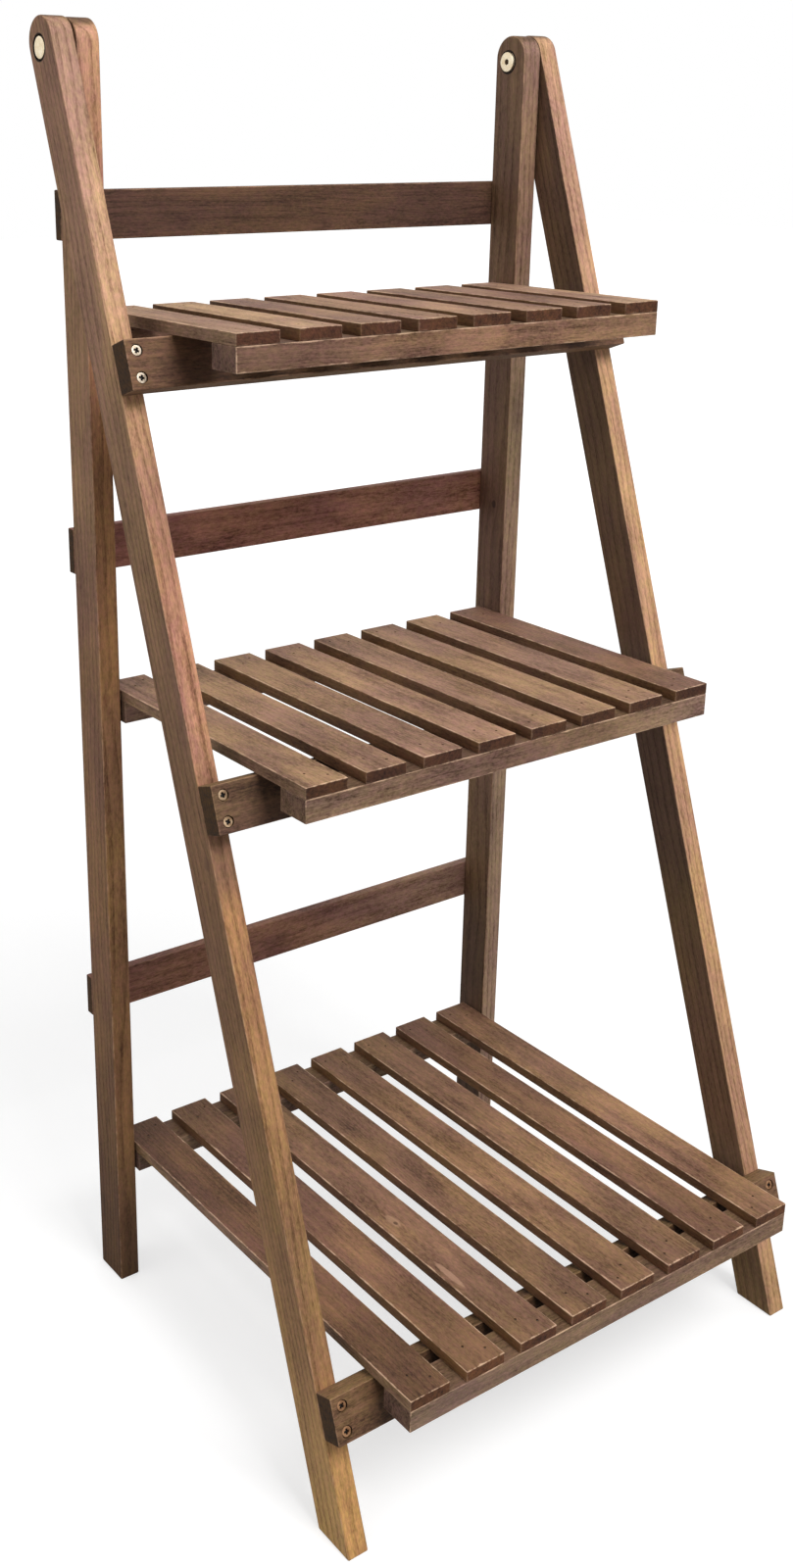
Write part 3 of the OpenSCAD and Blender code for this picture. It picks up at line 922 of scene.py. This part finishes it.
def addNut(side, name):
    # Sleeve nut: hexagon socket, flange, and a barrel that takes the bolt
    bm = bmesh.new()
    face, seat, end = pivots["nutFace"], pivots["nutSeat"], pivots["barrelEnd"]
    flange, barrel, ease = pivots["flange"], pivots["barrel"], pivots["barrelEase"]
    hexagon, socket = ringOf(bm, pivots["socket"] / 2)
    for vert in hexagon:
        turn = math.atan2(vert.co.y, vert.co.x) % math.radians(60) - math.radians(30)
        vert.co.xy = vert.co.xy / math.cos(turn)
    wall = growRing(bm, socket, 1.0, pivots["socketDepth"])
    bmesh.ops.edgeloop_fill(bm, edges=wall)
    ring = growRing(bm, socket, pivots["socketLip"], 0.0)
    for radius, rise in (*pivots["flangeEdge"], (flange, seat - face - pivots["flangeEase"]),
                         (barrel, 0.0), (barrel, end - seat - ease), (barrel - ease, ease),
                         (pivots["bore"], 0.0), (pivots["bore"], pivots["shankEnd"] - end)):
        ring = growRing(bm, ring, 1.0, rise)
        for vert in {vert for edge in ring for vert in edge.verts}:
            vert.co.xy = vert.co.xy.normalized() * radius * mm
    bmesh.ops.edgeloop_fill(bm, edges=ring)
    place = sideways(side, face)
    bmesh.ops.transform(bm, matrix=place, verts=bm.verts[:])
    bmesh.ops.recalc_face_normals(bm, faces=bm.faces[:])
    piece = finishPiece(bm, "pivotNut" + name.capitalize())
    block = {"centre": place.translation / mm, "turn": place.to_3x3()}
    finish = {**pivots["brass"], **pivots["nutShade"]}
    fitPiece(piece, "pivot_nut_" + name, "rear_frame",
             metal(piece.name + "Brass", block, finish))


def addWashers():
    wide = pivots["washerTo"] - pivots["washerFrom"]
    inner, outer = pivots["washerIn"], pivots["washerOut"]
    easeIn, easeOut = pivots["washerEaseIn"], pivots["washerEaseOut"]
    washer = ((inner, easeIn), (inner + easeIn, 0), (outer - easeOut, 0), (outer, easeOut),
              (outer, wide - easeOut), (outer - easeOut, wide), (inner + easeIn, wide),
              (inner, wide - easeIn), (inner, easeIn))
    places = [sideways(side, pivots["washerFrom"]) for side in (-1, 1)]
    piece = finishPiece(repeated(turned(washer, pivots["steps"]), places), "pivotWashers")
    fitPiece(piece, "pivot_washers", "rear_frame",
             metal("pivotWashersSteel", {"centre": hinge, "turn": upright}, pivots["steel"]))


def addPivots():
    for side, name in ((-1, "left"), (1, "right")):
        addBolt(side, name)
        addNut(side, name)
    addWashers()
    print("pivot bolts, nuts and washers turned")


nails = {
    "radius": 0.9, "long": 18.0, "sink": 0.3, "steps": 10, "near": 20.0, "far": 11.0,
    "across": (-3.0, 8.5), "pitch": 46.0,
    "head": ((0.6, -0.04), (1.0, -0.2), (1.0, -0.7)), "wire": 0.85, "wireFrom": 1.0, "point": 2.0,
    # Painted shade below the head
    "finish": {"deepAxis": "z", "deepSign": -1.0, "unshadedTo": 0.5, "shadeFrom": 1.2, "spots": 0.9,
               "roughness": 0.5, "bright": colour(92, 82, 74), "dull": colour(48, 40, 35),
               "soil": colour(30, 22, 18)},
}


def addNails():
    radius, long, wire = nails["radius"], nails["long"], nails["radius"] * nails["wire"]
    head = [(radius * wide, height) for wide, height in nails["head"]]
    nail = ((0, 0), *head, (wire, -nails["wireFrom"]), (wire, -long + nails["point"]), (0, -long))
    for level in stand["levels"]:
        places = []
        low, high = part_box("%s_slat_1" % level)
        height = stand["shelfTops"][level] - nails["sink"]
        for index in range(stand["slats"]):
            x = (index - (stand["slats"] - 1) / 2) * nails["pitch"]
            hand = 1 if index < stand["slats"] / 2 else -1
            for offset, inset in zip(nails["across"], (nails["near"], nails["far"])):
                for y in (low.y / mm + inset, high.y / mm - inset):
                    places.append(Matrix.Translation(Vector((x + hand * offset, y, height)) * mm))
        piece = finishPiece(repeated(turned(nail, nails["steps"]), places), level + "Nails")
        block = {"centre": (0, 0, height), "turn": upright}
        fitPiece(piece, level + "_nails", level + "_shelf",
                 metal(level + "NailSteel", block, nails["finish"]))
    print("nails driven")


dowels = {
    "radius": 3.0, "long": 33.0, "ease": 0.6, "steps": 32,
    "look": {"sway": 4.0, "ring": 1.6, "fibre": 0.7, "streak": 0.6, "blotch": 0.6, "speck": 0.6,
             "line": 0.2, "wear": 0.3, "pith": (3.0, 5.0), "rubbedFace": (0, -1, 0),
             "face": colour(172, 138, 104), "side": colour(168, 134, 100),
             "end": colour(140, 106, 76), "worn": colour(180, 150, 118)},
}


def addDowels():
    radius, long, ease = dowels["radius"], dowels["long"], dowels["ease"]
    pin = ((0, 0), (radius - ease, 0), (radius, ease), (radius, long - ease),
           (radius - ease, long), (0, long))
    for level in stand["levels"]:
        node = level + "_pivot_pins"
        low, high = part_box(node)
        middle = (low + high) / 2 / mm
        inner = high.x / mm - long
        places = [Matrix.Translation(Vector((side * inner, middle.y, middle.z)) * mm)
                  @ Matrix.Rotation(math.radians(90 * side), 4, "Y") for side in (-1, 1)]
        piece = finishPiece(repeated(turned(pin, dowels["steps"]), places), pieceName(node))
        block = {"centre": middle, "turn": alongX, "half": (radius, radius, high.x / mm)}
        fitPiece(piece, node, level + "_shelf",
                 stainedWood(pieceName(node) + "Beech", block, dowels["look"]))
    print("dowels turned")


addLegs()
addCrossbars()
addShelves()
addScrews()
addPivots()
addNails()
addDowels()
